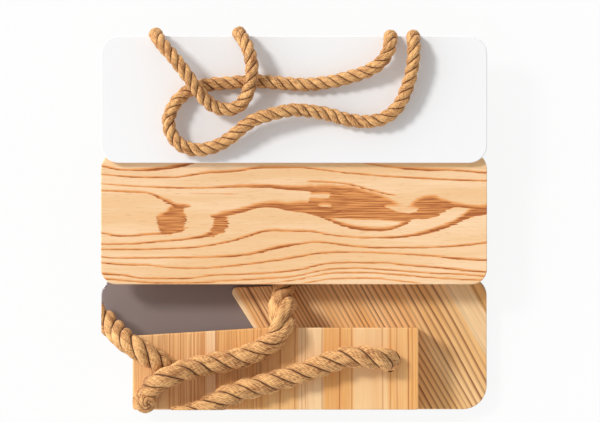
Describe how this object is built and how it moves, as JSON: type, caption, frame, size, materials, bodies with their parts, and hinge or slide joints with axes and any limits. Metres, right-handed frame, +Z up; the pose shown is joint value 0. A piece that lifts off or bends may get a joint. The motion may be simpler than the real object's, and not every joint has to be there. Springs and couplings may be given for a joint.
{
  "type": "hanging rope shelf",
  "caption": "Rope-hung wooden shelf laid flat as a stepped pile: lacquered and pine boards with rounded corners, drilled crossbars and loose loops of twisted rope.",
  "frame": {"origin": "on the floor, under the middle of the boards", "axes": "+X along the boards, +Y from the front of the pile to its back, +Z up"},
  "size_m": [0.45, 0.4485, 0.1072],
  "materials": {
    "white_lacquer": "satin white lacquer on wood",
    "grey_lacquer": "gloss grey-brown lacquer on wood",
    "pine": "oiled flat-sawn pine",
    "glued_pine": "oiled edge-glued pine",
    "beech": "bare beech",
    "rope": "three-strand twisted jute"
  },
  "bodies": {
    "bottom_tier": {"bottom_shelf_board": "grey_lacquer", "overlay_board": "pine", "packing_strip": "pine", "bottom_crossbar": "glued_pine", "bottom_dowel_1": "beech", "bottom_dowel_2": "beech", "bottom_dowel_3": "beech", "bottom_dowel_4": "beech", "edge_rope": "rope", "tier_rope": "rope", "tier_rope_turned_end": "rope", "front_rope": "rope"},
    "middle_tier": {"middle_shelf_board": "pine", "middle_crossbar": "glued_pine", "middle_dowel_1": "beech", "middle_dowel_2": "beech", "middle_dowel_3": "beech", "middle_dowel_4": "beech", "tier_rope_socket_end": "rope"},
    "top_tier": {"top_shelf_board": "white_lacquer", "top_batten_left": "pine", "top_batten_right": "pine", "top_crossbar": "glued_pine", "top_dowel_1": "beech", "top_dowel_2": "beech", "top_dowel_3": "beech", "top_dowel_4": "beech", "left_hanging_rope": "rope", "right_hanging_rope": "rope", "stopper_knot_1": "rope", "stopper_knot_2": "rope", "stopper_knot_3": "rope", "stopper_knot_4": "rope"}
  },
  "joints": [
    {"name": "middle_tier_lift", "type": "slide", "parent": "bottom_tier", "child": "middle_tier", "axis": [0, 0, 1], "range_m": [0, 0.25]},
    {"name": "top_tier_lift", "type": "slide", "parent": "middle_tier", "child": "top_tier", "axis": [0, 0, 1], "range_m": [0, 0.25]}
  ]
}
